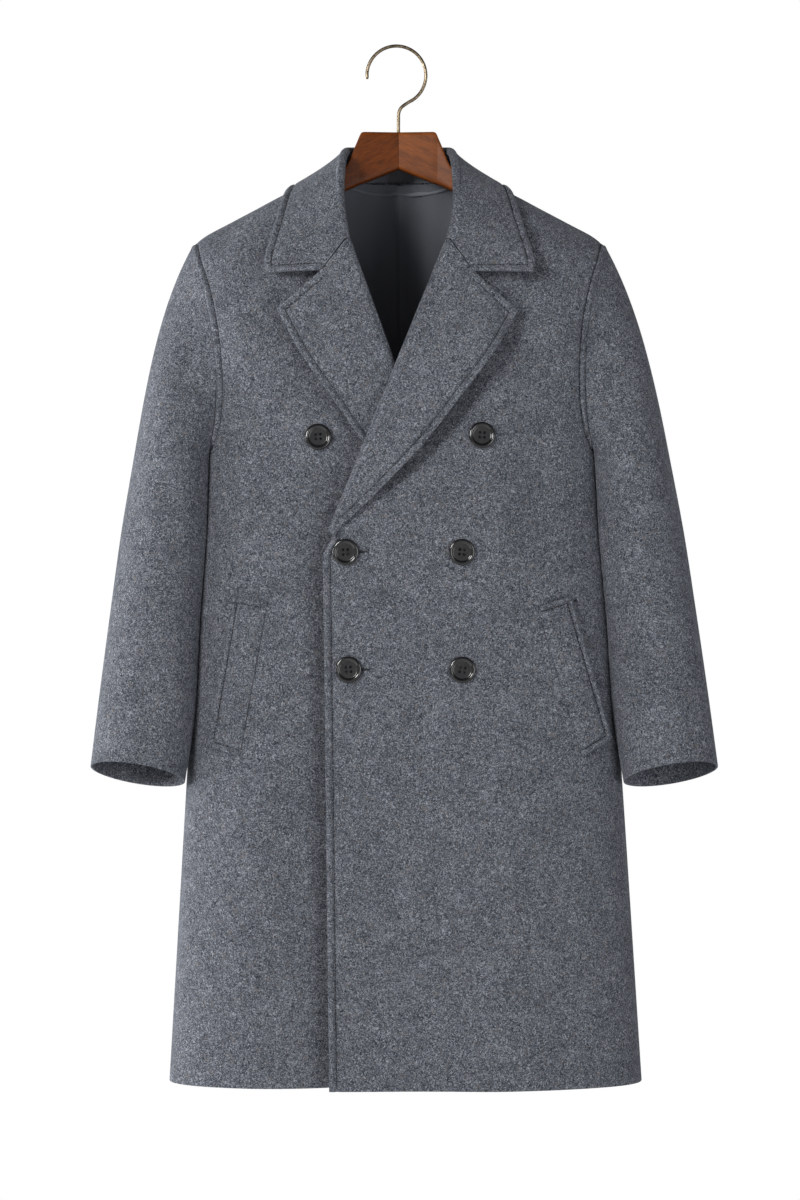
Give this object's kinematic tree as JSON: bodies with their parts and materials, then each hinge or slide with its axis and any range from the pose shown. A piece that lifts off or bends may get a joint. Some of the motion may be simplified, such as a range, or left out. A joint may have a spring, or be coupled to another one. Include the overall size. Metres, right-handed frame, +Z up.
{
  "type": "wool overcoat on a wooden hanger",
  "caption": "Knee-length double-breasted overcoat with wide notched collar and slanted welt pockets, hanging filled out on a contoured hanger.",
  "frame": {"origin": "underside of the crown of the hook, where it bears on a rail", "axes": "+Z up along the coat, -Y towards its front, +X towards the wearer's left"},
  "size_m": [0.706, 0.2193, 1.1823],
  "materials": {
    "wool": "matte melange melton wool, blue-grey",
    "lining": "soft satin twill lining, charcoal",
    "button": "polished black, four holes in a dished middle",
    "wood": "satin varnished reddish brown hardwood",
    "hook": "antiqued, satin"
  },
  "bodies": {
    "root": {"back": "wool", "front_left": "wool", "front_right": "wool", "lapel_left": "wool", "lapel_right": "wool", "collar": "wool", "sleeve_left_top": "wool", "sleeve_left_under": "wool", "sleeve_right_top": "wool", "sleeve_right_under": "wool", "welt_left": "wool", "welt_right": "wool", "button_upper_left": "button", "button_upper_right": "button", "button_middle_left": "button", "button_middle_right": "button", "button_lower_left": "button", "button_lower_right": "button", "lining_back": "lining", "neck_band": "lining", "hanger_left": "wood", "hanger_right": "wood", "hook": "hook"}
  },
  "joints": []
}
